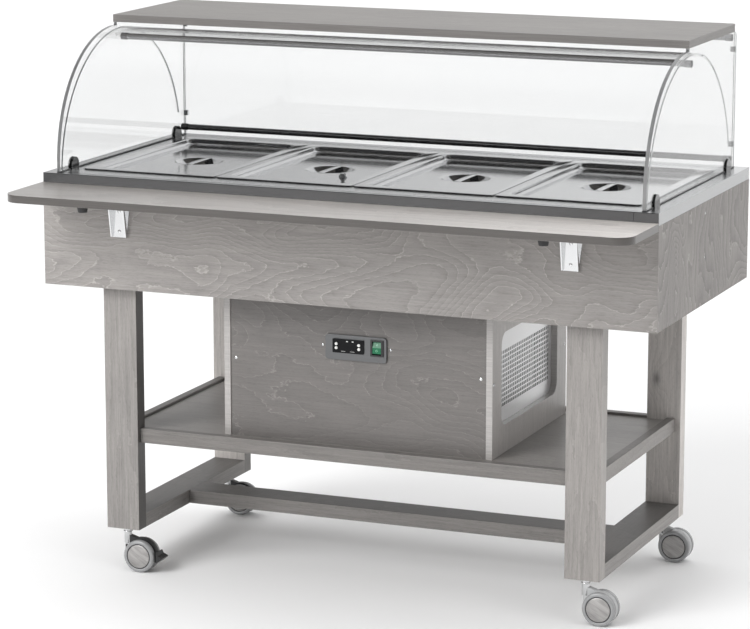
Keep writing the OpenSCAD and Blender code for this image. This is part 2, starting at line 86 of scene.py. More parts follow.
def mth(m, op, a, b=None, c=None, clamp=False):
    n = m.node_tree.nodes.new("ShaderNodeMath")
    n.operation = op
    n.use_clamp = clamp
    for i, v in enumerate((a, b, c)):
        if v is not None:
            put(m, n.inputs[i], v)
    return n.outputs[0]


def mixc(m, fac, a, b, blend="MIX"):
    n = m.node_tree.nodes.new("ShaderNodeMix")
    n.data_type = "RGBA"
    n.blend_type = blend
    put(m, n.inputs[0], fac)
    put(m, n.inputs[6], a)
    put(m, n.inputs[7], b)
    return n.outputs[2]


def mixf(m, fac, a, b):
    n = m.node_tree.nodes.new("ShaderNodeMix")
    n.data_type = "FLOAT"
    put(m, n.inputs[0], fac)
    put(m, n.inputs[2], a)
    put(m, n.inputs[3], b)
    return n.outputs[0]


def ramp(m, v, lo, hi, a=0.0, b=1.0, smooth=True):
    n = m.node_tree.nodes.new("ShaderNodeMapRange")
    n.interpolation_type = "SMOOTHSTEP" if smooth else "LINEAR"
    put(m, n.inputs["Value"], v)
    for k, x in (("From Min", lo), ("From Max", hi), ("To Min", a), ("To Max", b)):
        put(m, n.inputs[k], x)
    return n.outputs["Result"]


def coords(m):
    n = m.node_tree.nodes.new("ShaderNodeTexCoord")
    s = m.node_tree.nodes.new("ShaderNodeSeparateXYZ")
    m.node_tree.links.new(n.outputs["Object"], s.inputs[0])
    k = m.node_tree.nodes.new("ShaderNodeSeparateXYZ")
    m.node_tree.links.new(n.outputs["Normal"], k.inputs[0])
    return s.outputs, k.outputs


def vec(m, x, y, z):
    n = m.node_tree.nodes.new("ShaderNodeCombineXYZ")
    for i, v in enumerate((x, y, z)):
        put(m, n.inputs[i], v)
    return n.outputs[0]


def noise(m, v, scale=1.0, detail=2.0, rough=0.5, distortion=0.0):
    n = m.node_tree.nodes.new("ShaderNodeTexNoise")
    put(m, n.inputs["Vector"], v)
    n.inputs["Scale"].default_value = scale
    n.inputs["Detail"].default_value = detail
    n.inputs["Roughness"].default_value = rough
    n.inputs["Distortion"].default_value = distortion
    return n.outputs[0]


def bump(m, height, strength=0.2, distance=0.001):
    n = m.node_tree.nodes.new("ShaderNodeBump")
    n.inputs["Strength"].default_value = strength
    n.inputs["Distance"].default_value = distance
    put(m, n.inputs["Height"], height)
    put(m, bsdf(m).inputs["Normal"], n.outputs[0])


def mul(m, a, k):
    return mth(m, "MULTIPLY", a, k)


def add(m, a, b):
    return mth(m, "ADD", a, b)


# ------------------------------------------------------------------ materials
def wood(name, base, along="X", across="Z", figure=9.0, straight=0.0, seed=0.0, line=0.10, light=0.22,
         rough=0.5, edge_axis=None, edge=(0.2, 0.2, 0.2), edge_mix=1.0, fl=1.9, fp=5.0, tone=0.10, coat=0.12,
         fibre=0.42, top=1.0, inner=1.0, outer=1.0, light_falloff=0.0, edge_rough=None, width=0.055, jag=0.9, knot=None, back=1.0):
    """Grey-stained veneer: contour-like growth lines, fibres along the grain and fine pores, with optional painted
    light and shade set by position and face direction.
    """
    m = mat(name)
    p, n = coords(m)
    ax = {"X": 0, "Y": 1, "Z": 2}
    L, P = p[ax[along]], p[ax[across]]
    Q = p[3 - ax[along] - ax[across]]
    big = noise(m, vec(m, mul(m, L, fl), mul(m, P, fp), add(m, mul(m, Q, 2.3), seed)), 1.0, 1.6, 0.42, 0.35)
    jit = noise(m, vec(m, mul(m, L, 34.0), mul(m, P, 60.0), add(m, mul(m, Q, 20.0), seed)), 1.0, 3.0, 0.62)
    H = add(m, add(m, mul(m, big, figure), mul(m, P, straight)), mul(m, jit, jag))
    if knot:
        kx, kz, ky = knot
        ex = mul(m, mth(m, "SUBTRACT", p[0], kx), 1 / 0.0085)
        ez = mul(m, mth(m, "SUBTRACT", p[2], kz), 1 / 0.0130)
        d2k = add(m, mth(m, "MULTIPLY", ex, ex), mth(m, "MULTIPLY", ez, ez))
        here = ramp(m, p[1], ky - 0.01, ky, 0.0, 1.0)
        core = mul(m, mth(m, "EXPONENT", mul(m, d2k, -0.9)), here)
        H = add(m, H, mul(m, mul(m, mth(m, "EXPONENT", mul(m, d2k, -0.10)), here), 2.6))
    f = mth(m, "FRACT", H)
    d2 = mth(m, "ABSOLUTE", mth(m, "SUBTRACT", f, 0.5))
    lite = ramp(m, d2, 0.0, width, 1.0, 0.0)
    saw = mth(m, "FRACT", mth(m, "SUBTRACT", f, 0.52))
    dark = mth(m, "POWER", mth(m, "SUBTRACT", 1.0, saw), 2.2)
    patch = noise(m, vec(m, mul(m, L, 5.0), mul(m, P, 11.0), add(m, mul(m, Q, 5.0), seed + 4.0)), 1.0, 1.0, 0.5)
    brk = noise(m, vec(m, mul(m, L, 60.0), mul(m, P, 130.0), add(m, mul(m, Q, 60.0), seed)), 1.0, 2.0, 0.6)
    vis = mul(m, ramp(m, patch, 0.28, 0.60, 0.35, 1.0), ramp(m, brk, 0.34, 0.56, 0.25, 1.0))
    fib = noise(m, vec(m, mul(m, L, 11.0), mul(m, P, 380.0), mul(m, Q, 380.0)), 1.0, 3.0, 0.68)
    fib2 = noise(m, vec(m, mul(m, L, 7.0), mul(m, P, 130.0), mul(m, Q, 130.0)), 1.0, 4.0, 0.75)
    pore = noise(m, vec(m, mul(m, L, 90.0), mul(m, P, 900.0), mul(m, Q, 900.0)), 1.0, 1.5, 0.5)
    pores = ramp(m, pore, 0.55, 0.68, 0.0, 1.0)
    broad = noise(m, vec(m, mul(m, L, 2.1), mul(m, P, 6.0), add(m, mul(m, Q, 2.1), seed + 9.0)), 1.0, 3.0, 0.55)
    g = mth(m, "SUBTRACT", 1.02, mul(m, dark, line))
    g = add(m, g, mul(m, mul(m, lite, vis), light))
    g = add(m, g, mul(m, mth(m, "SUBTRACT", fib, 0.5), fibre))
    g = add(m, g, mul(m, mth(m, "SUBTRACT", fib2, 0.5), fibre))
    g = mth(m, "SUBTRACT", g, mul(m, pores, 0.15))
    g = add(m, g, mul(m, mth(m, "SUBTRACT", broad, 0.5), tone * 3))
    # painted light: brightness falls off evenly along X, lighter at one end and darker at the other
    if light_falloff:
        g = mul(m, g, ramp(m, p[0], -0.72, 0.72, 1.0 + light_falloff, 1.0 - light_falloff, False))
    # painted light: parts further back in Y are lightened by the factor back, standing in for light reaching the back
    # legs
    if back != 1.0:
        g = mul(m, g, ramp(m, p[1], 0.05, 0.30, 1.0, back))
    # painted shade: faces that look upwards are darkened by the factor top
    if top != 1.0:
        g = mul(m, g, ramp(m, n[2], 0.4, 0.8, 1.0, top))
    # painted shade on faces turned towards the middle in X (factor inner), painted light on faces turned outwards
    # (factor outer)
    if inner != 1.0:
        out = mth(m, "MULTIPLY", n[0], ramp(m, p[0], -0.01, 0.01, -1.0, 1.0))
        g = mul(m, g, ramp(m, out, -0.8, -0.4, inner, 1.0))
        if outer != 1.0:
            g = mul(m, g, ramp(m, out, 0.4, 0.8, 1.0, outer))
    if knot:
        g = mul(m, g, mth(m, "SUBTRACT", 1.0, mul(m, core, 0.55)))
    col = mixc(m, 1.0, base, vec(m, g, g, g), "MULTIPLY")
    warm = mixc(m, mul(m, broad, 0.35), col, mixc(m, 1.0, col, (1.03, 1.0, 0.96), "MULTIPLY"))
    b = bsdf(m)
    rgh = add(m, rough - 0.07, mul(m, fib, 0.14))
    if edge_axis:
        k = mth(m, "ABSOLUTE", n[ax[edge_axis]])
        em = mul(m, ramp(m, k, 0.45, 0.75, 1.0, 0.0), edge_mix)
        ef = noise(m, vec(m, mul(m, p[0], 12.0), mul(m, p[1], 12.0), mul(m, p[2], 500.0)), 1.0, 3.0, 0.6)
        ecol = mixc(m, 1.0, edge, vec(m, *[ramp(m, ef, 0.2, 0.8, 0.86, 1.14)] * 3), "MULTIPLY")
        warm = mixc(m, em, warm, ecol)
        if edge_rough is not None:
            rgh = mixf(m, em, rgh, edge_rough)
    put(m, b.inputs["Base Color"], warm)
    put(m, b.inputs["Roughness"], rgh)
    b.inputs["Coat Weight"].default_value = coat
    b.inputs["Coat Roughness"].default_value = 0.30
    bump(m, add(m, mul(m, fib, 0.5), mul(m, mth(m, "SUBTRACT", lite, dark), 0.25)), 0.25, 0.0004)
    return m


def metal(name, base, rough=0.25, brush=None, amount=0.5, painted_front_reflection=None, seam=False, smudge=0.05, metallic=1.0, bmp=0.08, side=1.0):
    """Steel: brushed along one axis, or polished when brush is None, with faint wipe marks; optionally a painted dark
    reflection on front faces and painted shade on faces along X.
    """
    m = mat(name)
    p, n = coords(m)
    if brush:
        s = {"X": (6.0, 900.0, 900.0), "Y": (900.0, 6.0, 900.0), "Z": (900.0, 900.0, 6.0)}[brush]
    else:
        s = (260.0, 260.0, 260.0)
    fine = noise(m, vec(m, mul(m, p[0], s[0]), mul(m, p[1], s[1]), mul(m, p[2], s[2])), 1.0, 2.5, 0.6)
    wipe = noise(m, vec(m, mul(m, p[0], 9.0), mul(m, p[1], 14.0), mul(m, p[2], 14.0)), 1.0, 3.0, 0.55, 0.8)
    g = add(m, 1.0 - amount * 0.10, mul(m, fine, amount * 0.20))
    col = mixc(m, 1.0, base, vec(m, g, g, g), "MULTIPLY")
    # painted shade: faces turned along X are darkened by the factor side
    if side != 1.0:
        g2 = ramp(m, mth(m, "ABSOLUTE", n[0]), 0.6, 0.85, 1.0, side)
        col = mixc(m, 1.0, col, vec(m, g2, g2, g2), "MULTIPLY")
    # painted reflection: faces looking to the front (-Y) take a dark colour standing in for the dark surroundings they
    # mirror
    if painted_front_reflection:
        front = ramp(m, n[1], -0.85, -0.6, 1.0, 0.0)
        d = mixc(m, 1.0, painted_front_reflection, vec(m, g, g, g), "MULTIPLY")
        col = mixc(m, front, col, d)
        if seam:
            ds = mth(m, "ABSOLUTE", mth(m, "SUBTRACT", p[0], 0.663))
            sm = mul(m, ramp(m, ds, 0.0004, 0.0009, 1.0, 0.0), front)
            col = mixc(m, sm, col, (0.03, 0.03, 0.03))
    b = bsdf(m)
    put(m, b.inputs["Base Color"], col)
    b.inputs["Metallic"].default_value = metallic
    put(m, b.inputs["Roughness"], add(m, rough - smudge, add(m, mul(m, wipe, smudge * 2), mul(m, fine, amount * 0.10))))
    bump(m, fine, bmp, 0.0001)
    return m


def plastic(name, base, rough=0.4, grain=0.15, coat=0.0, scale=900.0, spec=0.5):
    m = mat(name)
    p, n = coords(m)
    v = vec(m, p[0], p[1], p[2])
    fine = noise(m, v, scale, 2.0, 0.6)
    wear = noise(m, v, 26.0, 3.0, 0.6)
    g = add(m, 0.94, add(m, mul(m, fine, 0.06), mul(m, wear, 0.06)))
    b = bsdf(m)
    put(m, b.inputs["Base Color"], mixc(m, 1.0, base, vec(m, g, g, g), "MULTIPLY"))
    put(m, b.inputs["Roughness"], add(m, rough - 0.05, mul(m, wear, 0.10)))
    b.inputs["Specular IOR Level"].default_value = spec
    b.inputs["Coat Weight"].default_value = coat
    b.inputs["Coat Roughness"].default_value = 0.12
    bump(m, fine, grain, 0.0002)
    return m


def clear(name, tint=(0.955, 0.965, 0.965), rough=0.006, ior=1.46, edge_axis=None, edge=(0.40, 0.405, 0.41), edge_mix=0.7):
    """Clear sheet with a faint tint; the cut edges along a sheet are ground and look grey."""
    m = mat(name)
    p, n = coords(m)
    haze = noise(m, vec(m, mul(m, p[0], 3.0), mul(m, p[1], 3.0), mul(m, p[2], 3.0)), 1.0, 2.0, 0.5)
    b = bsdf(m)
    put(m, b.inputs["Base Color"], mixc(m, haze, tint, tuple(min(1.0, c * 1.02) for c in tint)))
    put(m, b.inputs["Roughness"], mul(m, haze, rough * 2))
    b.inputs["Transmission Weight"].default_value = 1.0
    b.inputs["IOR"].default_value = ior
    t = m.node_tree.nodes.new("ShaderNodeBsdfTransparent")
    t.inputs[0].default_value = (*[c * c for c in tint], 1.0)
    lp = m.node_tree.nodes.new("ShaderNodeLightPath")
    mx = m.node_tree.nodes.new("ShaderNodeMixShader")
    out = m.node_tree.nodes["Material Output"]
    surf = b.outputs[0]
    if edge_axis is not None:
        g = m.node_tree.nodes.new("ShaderNodeBsdfPrincipled")
        gr = noise(m, vec(m, mul(m, p[0], 900.0), mul(m, p[1], 60.0), mul(m, p[2], 60.0)), 1.0, 2.0, 0.5)
        put(m, g.inputs["Base Color"], mixc(m, gr, tuple(c * 0.85 for c in edge), tuple(c * 1.15 for c in edge)))
        g.inputs["Roughness"].default_value = 0.28
        em = m.node_tree.nodes.new("ShaderNodeMixShader")
        k = ramp(m, mth(m, "ABSOLUTE", n[edge_axis]), 0.45, 0.75, edge_mix, 0.0)
        put(m, em.inputs[0], k)
        m.node_tree.links.new(surf, em.inputs[1])
        m.node_tree.links.new(g.outputs[0], em.inputs[2])
        surf = em.outputs[0]
    put(m, mx.inputs[0], lp.outputs["Is Shadow Ray"])
    m.node_tree.links.new(surf, mx.inputs[1])
    m.node_tree.links.new(t.outputs[0], mx.inputs[2])
    m.node_tree.links.new(mx.outputs[0], out.inputs["Surface"])
    return m


WOOD = (0.285, 0.270, 0.260)
LEG = (0.285, 0.270, 0.259)
RAIL = (0.235, 0.223, 0.214)
M = {
    # the front veneer carries a painted light falloff along X
    "veneer_front": wood("veneer_front", WOOD, "X", "Z", 34.0, 4.0, 1.7, fl=2.3, fp=4.4, light_falloff=0.11, line=0.17, light=0.42, width=0.07, edge_axis="Y",
                         edge=(0.32, 0.305, 0.295), edge_mix=0.5),
    "veneer_end": wood("veneer_end", (0.285, 0.270, 0.260), "Z", "Y", 34.0, 8.0, 5.2, line=0.26, light=0.42, width=0.06, coat=0.0, rough=0.62, edge_axis="X",
                       edge=(0.33, 0.315, 0.305), edge_mix=0.5, fl=1.9, fp=4.6),
    "veneer_box_x": wood("veneer_box_x", (0.165, 0.155, 0.149), "X", "Z", 27.0, 4.0, 8.4, fl=2.4, fp=4.0, line=0.11, light=0.42, width=0.05,
                         edge_axis="Y", edge=(0.165, 0.155, 0.149)),
    "veneer_box_y": wood("veneer_box_y", (0.46, 0.438, 0.422), "Z", "Y", 6.0, 10.0, 3.1, line=0.06, light=0.06,
                         edge_axis="X", edge=(0.43, 0.412, 0.40), coat=0.45, edge_rough=0.22),
    # legs: painted shade on inward faces, painted light on outward faces and on the back legs
    "leg_wood": wood("leg_wood", LEG, "Z", "X", 7.0, 42.0, 2.2, line=0.13, light=0.08, fl=1.6, fp=14.0, inner=0.34, outer=1.3, tone=0.12, back=1.75,
                     fibre=0.62, knot=(0.5306, 0.4218, 0.30)),
    # rails: painted shade on their upward faces and on inward faces of the side rails, painted light on outward faces
    # of the shelf rails
    "rail_wood_x": wood("rail_wood_x", RAIL, "X", "Z", 5.0, 45.0, 6.6, line=0.12, light=0.08, fl=1.2, fp=14.0, top=0.55, fibre=0.62),
    "shelf_rail": wood("shelf_rail", (0.180, 0.170, 0.162), "X", "Z", 5.0, 45.0, 2.6, line=0.12, light=0.08, fl=1.2, fp=14.0, top=0.9, outer=1.5,
                       inner=0.99, fibre=0.62),
    "rail_wood_y": wood("rail_wood_y", LEG, "Y", "Z", 5.0, 45.0, 7.7, line=0.12, light=0.08, fl=1.2, fp=14.0, top=0.42, inner=0.8, fibre=0.62),
    "shelf_wood": wood("shelf_wood", (0.245, 0.232, 0.222), "X", "Y", 10.0, 6.0, 3.9, line=0.10, light=0.10, coat=0.3),
    "roof_wood": wood("roof_wood", (0.220, 0.209, 0.200), "X", "Y", 3.5, 38.0, 4.4, line=0.14, light=0.12, fl=0.9, fp=7.0, fibre=0.6,
                      edge_axis="Z", edge=(0.175, 0.165, 0.157), edge_rough=0.4),
    # the tray top carries a painted light falloff along X
    "tray_wood": wood("tray_wood", (0.47, 0.448, 0.432), "X", "Y", 9.0, 14.0, 12.3, line=0.15, light=0.14, rough=0.36, coat=0.35, light_falloff=-0.36,
                      edge_axis="Z", edge=(0.080, 0.073, 0.068), edge_rough=0.3, fl=1.2, fp=6.0),
    # steel top: painted dark reflection on its front faces and painted shade on its X-facing ends
    "top_steel": metal("top_steel", (0.56, 0.565, 0.57), 0.22, "X", 0.6, painted_front_reflection=(0.100, 0.100, 0.102), seam=True, bmp=0.015, side=0.74, smudge=0.02),
    "bar_dark": metal("bar_dark", (0.10, 0.10, 0.102), 0.3, "Y", 0.5, bmp=0.03),
    "clip": metal("clip", (0.72, 0.725, 0.73), 0.2, None, 0.1, bmp=0.02),
    "bar_steel": metal("bar_steel", (0.56, 0.565, 0.57), 0.24, "Y", 0.5, bmp=0.03),
    "pan_steel": metal("pan_steel", (0.60, 0.602, 0.607), 0.14, "Y", 0.25, smudge=0.02, bmp=0.01),
    "lid_steel": metal("lid_steel", (0.66, 0.662, 0.667), 0.10, "X", 0.18, smudge=0.012, bmp=0.006),
    "chrome": metal("chrome", (0.80, 0.805, 0.81), 0.08, None, 0.15, smudge=0.02, bmp=0.02),
    "bracket_steel": metal("bracket_steel", (0.72, 0.725, 0.73), 0.14, "Z", 0.3, smudge=0.03, bmp=0.02),
    "tube_steel": metal("tube_steel", (0.17, 0.171, 0.174), 0.13, "X", 0.3, smudge=0.02, bmp=0.008),
    "bezel_steel": metal("bezel_steel", (0.155, 0.157, 0.16), 0.34, "X", 0.8, bmp=0.08),
    "perforated": metal("perforated", (0.80, 0.80, 0.80), 0.30, None, 0.2, metallic=0.55),
    "black": plastic("black", (0.012, 0.012, 0.013), 0.35, coat=0.2),
    "black_gloss": plastic("black_gloss", (0.008, 0.008, 0.009), 0.16, grain=0.03, coat=0.6),
    "white": plastic("white", (0.78, 0.78, 0.76), 0.35, grain=0.05),
    "print": plastic("print", (0.70, 0.71, 0.70), 0.5, grain=0.02),
    "green": plastic("green", (0.012, 0.150, 0.068), 0.3, grain=0.03, coat=0.0, spec=0.35),
    "panel_black": plastic("panel_black", (0.006, 0.006, 0.007), 0.45, grain=0.03, spec=0.15),
    "green_mark": plastic("green_mark", (0.26, 0.62, 0.40), 0.3, grain=0.02),
    "rubber": plastic("rubber", (0.015, 0.015, 0.016), 0.55, grain=0.3),
    "gasket": plastic("gasket", (0.03, 0.03, 0.032), 0.5, grain=0.2),
    "tread": plastic("tread", (0.30, 0.303, 0.307), 0.25, grain=0.05, coat=0.4),
    "ring": plastic("ring", (0.035, 0.035, 0.037), 0.4),
    "comp_paint": plastic("comp_paint", (0.012, 0.012, 0.013), 0.3, grain=0.1, coat=0.4),
    "fins": metal("fins", (0.6, 0.6, 0.62), 0.35, "Z", 1.0),
    "fan_metal": metal("fan_metal", (0.65, 0.65, 0.66), 0.3, None, 0.4),
    "shroud": plastic("shroud", (0.03, 0.03, 0.03), 0.5, grain=0.25),
    "side_clear": clear("side_clear", (0.88, 0.885, 0.885), edge_axis=0, edge=(0.80, 0.81, 0.82), edge_mix=0.8),
    "back_clear": clear("back_clear", (0.86, 0.865, 0.865), edge_axis=1, edge=(0.25, 0.255, 0.26), edge_mix=0.6),
    "cover_clear": clear("cover_clear", (0.985, 0.99, 0.99), ior=1.32),
}
M["disc"] = metal("disc", (0.40, 0.39, 0.38), 0.30, None, 0.3, metallic=0.35)


def disc_finish(m):
    """Brushed grain across a wheel's cover disc, as on its wooden neighbours."""
    p, n = coords(m)
    s = add(m, mul(m, p[0], 0.5), mul(m, p[2], 0.87))
    t = add(m, mul(m, p[0], 0.87), mul(m, p[2], -0.5))
    fib = noise(m, vec(m, mul(m, t, 40.0), mul(m, s, 520.0), mul(m, p[1], 30.0)), 1.0, 3.0, 0.6)
    big = noise(m, vec(m, mul(m, t, 18.0), mul(m, s, 90.0), mul(m, p[1], 8.0)), 1.0, 2.0, 0.5)
    g = add(m, 0.14, add(m, mul(m, fib, 0.75), mul(m, big, 0.98)))
    put(m, bsdf(m).inputs["Base Color"], mixc(m, 1.0, (0.36, 0.349, 0.342), vec(m, g, g, g), "MULTIPLY"))


disc_finish(M["disc"])


def fork_finish(name, xy, hood):
    """A moulded hood with a chrome-plated neck and pin."""
    m = mat(name)
    p, n = coords(m)
    dx = mth(m, "SUBTRACT", p[0], xy[0])
    dy = mth(m, "SUBTRACT", p[1], xy[1])
    r = mth(m, "SQRT", add(m, mth(m, "MULTIPLY", dx, dx), mth(m, "MULTIPLY", dy, dy)))
    neck = mul(m, ramp(m, r, 0.0090, 0.0094, 1.0, 0.0), ramp(m, p[2], 0.0600, 0.0605, 0.0, 1.0))
    fine = noise(m, vec(m, p[0], p[1], p[2]), 700.0, 2.0, 0.6)
    g = add(m, 0.94, mul(m, fine, 0.12))
    b = bsdf(m)
    put(m, b.inputs["Base Color"], mixc(m, 1.0, mixc(m, neck, hood, (0.58, 0.585, 0.59)), vec(m, g, g, g), "MULTIPLY"))
    put(m, b.inputs["Metallic"], neck)
    put(m, b.inputs["Roughness"], mixf(m, neck, 0.36, 0.09))
    bump(m, fine, 0.08, 0.0002)
    return m


# ------------------------------------------------------------------ CAD nodes: materials and softened edges
def dress(name, m, width=0.0, seg=2, split=22.0):
    o = nodes[name]
    if not o.data.materials:
        o.data.materials.append(m)
    for i in range(len(o.data.materials)):
        o.data.materials[i] = m
    if width:
        a = o.data.attributes.get("custom_normal")
        if a:
            o.data.attributes.remove(a)
        w = o.modifiers.new("weld", "WELD")
        w.merge_threshold = 2e-6
        b = o.modifiers.new("bevel", "BEVEL")
        b.width = width
        b.segments = seg
        b.limit_method = "ANGLE"
        b.angle_limit = math.radians(38)
        b.use_clamp_overlap = True
        s = o.modifiers.new("split", "EDGE_SPLIT")
        s.split_angle = math.radians(split)
    return o


dress("legs", M["leg_wood"], 0.0012)
dress("apron_ledgers", M["rail_wood_x"], 0.0008)
dress("bottom_rails", M["rail_wood_y"], 0.0012)
dress("center_stretcher", M["rail_wood_x"], 0.0012)
dress("long_aprons", M["veneer_front"], 0.0007)
dress("end_aprons", M["veneer_end"], 0.0007)
dress("shelf_rails", M["shelf_rail"], 0.0012)
dress("shelf_panel", M["shelf_wood"])
dress("roof_panel", M["roof_wood"], 0.0016, 3)
dress("tray_shelf", M["tray_wood"], 0.0018, 3)
dress("box_front_panel", M["veneer_box_x"], 0.0006)
dress("box_side_panels", M["veneer_box_y"], 0.0007)
dress("box_back_panel", M["veneer_box_x"], 0.0006)
dress("compressor", M["comp_paint"])
dress("condenser", M["fins"])
dress("fan_shroud", M["shroud"])
dress("fan_blades", M["fan_metal"])
dress("control_bezel", M["bezel_steel"], 0.0013, 3)
dress("controller", M["panel_black"], 0.0004)
for b_ in ("up", "down", "set", "standby"):
    dress("button_" + b_, M["white"], 0.0003)
dress("rocker_housing", M["black"], 0.0006)
dress("rocker_switch", M["green"], 0.0007)
dress("steel_top", M["top_steel"], 0.0011, 3)
dress("support_bars", M["bar_dark"], 0.0012)
for s_ in ("left", "right"):
    dress(s_ + "_side_glass", M["side_clear"])
dress("back_glass", M["back_clear"])
dress("front_cover", M["cover_clear"])
dress("glass_clips", M["clip"])
dress("canopy_tubes", M["tube_steel"])
dress("tube_end_caps", M["black"], 0.0012, 3)
dress("glass_clamps", M["black_gloss"], 0.0022, 3)
dress("bracket_bases", M["bracket_steel"], 0.0004)
dress("bracket_arms", M["bracket_steel"], 0.0004)
dress("tray_bumpers", M["rubber"], 0.0016, 3)
dress("caster_sleeves", M["chrome"], 0.0004)
dress("cable_gland", M["black"], 0.0008)
for c_, xy_ in STEMS.items():
    braked = c_ in ("fl", "bl")
    dress("caster_%s_fork" % c_, fork_finish("fork_" + c_, xy_, (0.018, 0.018, 0.019) if braked else (0.46, 0.465, 0.47)), 0.0011, 3)
    if braked:
        dress("brake_pedal_" + c_, M["black"], 0.0012, 3)


# ------------------------------------------------------------------ new meshes
def add_mesh(name, bm, m, body, smooth=True):
    me = bpy.data.meshes.new(name)
    bmesh.ops.recalc_face_normals(bm, faces=bm.faces[:]) if body is None else None
    bm.to_mesh(me)
    bm.free()
    if smooth:
        me.polygons.foreach_set("use_smooth", [True] * len(me.polygons))
    o = bpy.data.objects.new(name, me)
    bpy.context.scene.collection.objects.link(o)
    for x in (m if isinstance(m, (list, tuple)) else [m]):
        me.materials.append(x)
    if body:
        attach(o, body)
    return o


def rr_ring(cx, cy, w, d, r, z, n=10):
    """Points of a rounded rectangle, counter-clockwise seen from above."""
    pts = []
    for qx, qy, a0 in ((1, 1, 0), (-1, 1, 90), (-1, -1, 180), (1, -1, 270)):
        ox, oy = cx + qx * (w / 2 - r), cy + qy * (d / 2 - r)
        for i in range(n + 1):
            a = math.radians(a0 + 90 * i / n)
            pts.append((ox + r * math.cos(a), oy + r * math.sin(a), z))
    return pts


def circle_ring(cx, cy, r, z, n=64):
    return [(cx + r * math.cos(2 * math.pi * i / n), cy + r * math.sin(2 * math.pi * i / n), z) for i in range(n)]


def skin(bm, rings, flip=False):
    """Quads between successive rings that have the same number of points. Returns the vertex rows."""
    rows = [[bm.verts.new(p) for p in ring] for ring in rings]
    for a, b in zip(rows, rows[1:]):
        for i in range(len(a)):
            j = (i + 1) % len(a)
            f = [a[i], a[j], b[j], b[i]]
            bm.faces.new(f[::-1] if flip else f)
    return rows


def fill_between(bm, outer, inner):
    edges = []
    for row in (outer, inner):
        if row is None:
            continue
        for i in range(len(row)):
            e = bm.edges.get((row[i], row[(i + 1) % len(row)]))
            edges.append(e or bm.edges.new((row[i], row[(i + 1) % len(row)])))
    r = bmesh.ops.triangle_fill(bm, use_beauty=True, use_dissolve=False, edges=edges)
    for f in r["geom"]:
        if isinstance(f, bmesh.types.BMFace) and f.normal.z < 0:
            f.normal_flip()


def fillet(w, d, r, z, rad, turn, steps=6, down=True):
    """Insets and drops of a quarter round: turn 'out' rounds over an edge going down, 'in' settles onto a floor."""
    out = []
    for i in range(steps + 1):
        a = math.pi / 2 * i / steps
        if turn == "out":
            ins, dz = rad * math.sin(a), rad * (1 - math.cos(a))
        else:
            ins, dz = rad * (1 - math.cos(a)), rad * math.sin(a)
        out.append((w - 2 * ins, d - 2 * ins, max(r - ins, 0.002), z - dz))
    return out


def solidify(o, t):
    s = o.modifiers.new("sheet", "SOLIDIFY")
    s.thickness = t
    s.offset = -1.0
    s.use_even_offset = True


def sheet_mesh(name, rings, m, body, t, circle=None, cup=None):
    """A pressed steel sheet: rounded-rectangle rings from the rim inwards, then a flat with an optional round cup."""
    bm = bmesh.new()
    rows = skin(bm, rings)
    if cup:
        crow = skin(bm, cup)
        centre = bm.verts.new(circle)
        last = crow[-1]
        for i in range(len(last)):
            bm.faces.new([last[i], last[(i + 1) % len(last)], centre])
        fill_between(bm, rows[-1], crow[0])
    else:
        fill_between(bm, rows[-1], None)
    bm.normal_update()
    up = sum(f.normal.z * f.calc_area() for f in bm.faces)
    if up < 0:
        bmesh.ops.reverse_faces(bm, faces=bm.faces[:])
    o = add_mesh(name, bm, m, body, True)
    solidify(o, t)
    return o


def rounded_box(bm, x0, x1, y0, y1, z0, z1, r=0.0004, seg=2):
    v = bmesh.ops.create_cube(bm, size=1.0)["verts"]
    for p in v:
        p.co = Vector((x0 + (p.co.x + 0.5) * (x1 - x0), y0 + (p.co.y + 0.5) * (y1 - y0), z0 + (p.co.z + 0.5) * (z1 - z0)))
    e = list({e for p in v for e in p.link_edges})
    bmesh.ops.bevel(bm, geom=e, offset=r, segments=seg, profile=0.5, affect="EDGES", clamp_overlap=True)


def lathe(bm, profile, place, segs=64, mats=None, cap=True):
    """Turns (radius, height) points about local +Z, and puts them with the matrix place. A first or last radius of 0 closes it."""
    rows = []
    for r, h in profile:
        if r < 1e-7:
            rows.append([bm.verts.new(place @ Vector((0, 0, h)))])
        else:
            rows.append([bm.verts.new(place @ Vector((r * math.cos(2 * math.pi * i / segs), r * math.sin(2 * math.pi * i / segs), h)))
                         for i in range(segs)])
    for k, (a, b) in enumerate(zip(rows, rows[1:])):
        for i in range(segs):
            j = (i + 1) % segs
            if len(a) == 1:
                f = bm.faces.new([a[0], b[j], b[i]][::-1])
            elif len(b) == 1:
                f = bm.faces.new([a[i], a[j], b[0]])
            else:
                f = bm.faces.new([a[i], a[j], b[j], b[i]])
            if mats:
                f.material_index = mats[k]
    return rows


# pans
for i_ in range(4):
    cx_ = (i_ - 1.5) * PITCH
    cy_ = PAN_Y
    w_, d_ = 0.3250, 0.5300
    rings_ = [rr_ring(cx_, cy_, w_, d_, 0.012, 0.91242), rr_ring(cx_, cy_, w_ - 0.0006, d_ - 0.0006, 0.0118, 0.9134),
              rr_ring(cx_, cy_, w_ - 0.0016, d_ - 0.0016, 0.0115, 0.9135), rr_ring(cx_, cy_, w_ - 0.0180, d_ - 0.0200, 0.0240, 0.9135)]
    for a_ in fillet(w_ - 0.0190, d_ - 0.0210, 0.0300, 0.9135, 0.0028, "out"):
        rings_.append(rr_ring(cx_, cy_, *a_))
    rings_.append(rr_ring(cx_, cy_, w_ - 0.0258, d_ - 0.0278, 0.0284, 0.8800))
    rings_.append(rr_ring(cx_, cy_, w_ - 0.0290, d_ - 0.0310, 0.0275, 0.8270))
    for a_ in fillet(w_ - 0.0292, d_ - 0.0312, 0.0275, 0.8262, 0.0115, "in"):
        rings_.append(rr_ring(cx_, cy_, *a_))
    rings_.append(rr_ring(cx_, cy_, w_ - 0.0552, d_ - 0.0572, 0.0160, 0.8147))
    o_ = sheet_mesh("pan_shell_%d" % (i_ + 1), rings_, M["pan_steel"], "pan_%d" % (i_ + 1), 0.0010)
    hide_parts("pan_%d" % (i_ + 1))

